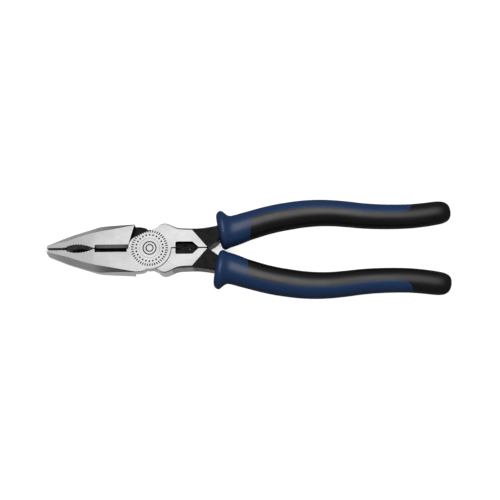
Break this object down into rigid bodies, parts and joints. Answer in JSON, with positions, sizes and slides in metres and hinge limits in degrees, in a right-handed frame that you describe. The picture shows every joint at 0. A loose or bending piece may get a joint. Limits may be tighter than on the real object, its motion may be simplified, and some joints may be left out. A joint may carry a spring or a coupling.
{
  "type": "lineman pliers",
  "caption": "Side-cutting lineman pliers with serrated nose, toothed pipe grip, knives, a crimping die behind the riveted lap joint, and flared two-material grips.",
  "frame": {"origin": "on the rivet's axis, at the back face of the head", "axes": "+X along the tool from the joint to the handle ends, +Y across it towards the upper jaw, +Z along the rivet out of the front face"},
  "size_m": [0.2185, 0.0544, 0.0184],
  "materials": {
    "ground_steel": "ground satin head faces, black-oxide joint recesses, die and handle arms",
    "blue_hard_grip": "semi-gloss moulded plastic",
    "black_soft_grip": "satin soft overmould"
  },
  "bodies": {
    "lower_jaw_side": {"lower_jaw_half": "ground_steel", "pivot_rivet": "ground_steel", "upper_grip_sleeve": "blue_hard_grip", "upper_grip_overmould": "black_soft_grip"},
    "upper_jaw_side": {"upper_jaw_half": "ground_steel", "lower_grip_sleeve": "blue_hard_grip", "lower_grip_overmould": "black_soft_grip"}
  },
  "joints": [
    {"name": "jaw_pivot", "type": "hinge", "parent": "lower_jaw_side", "child": "upper_jaw_side", "pos_m": [0, 0, 0.0065], "axis": [0, 0, -1], "range_deg": [0, 26]}
  ]
}
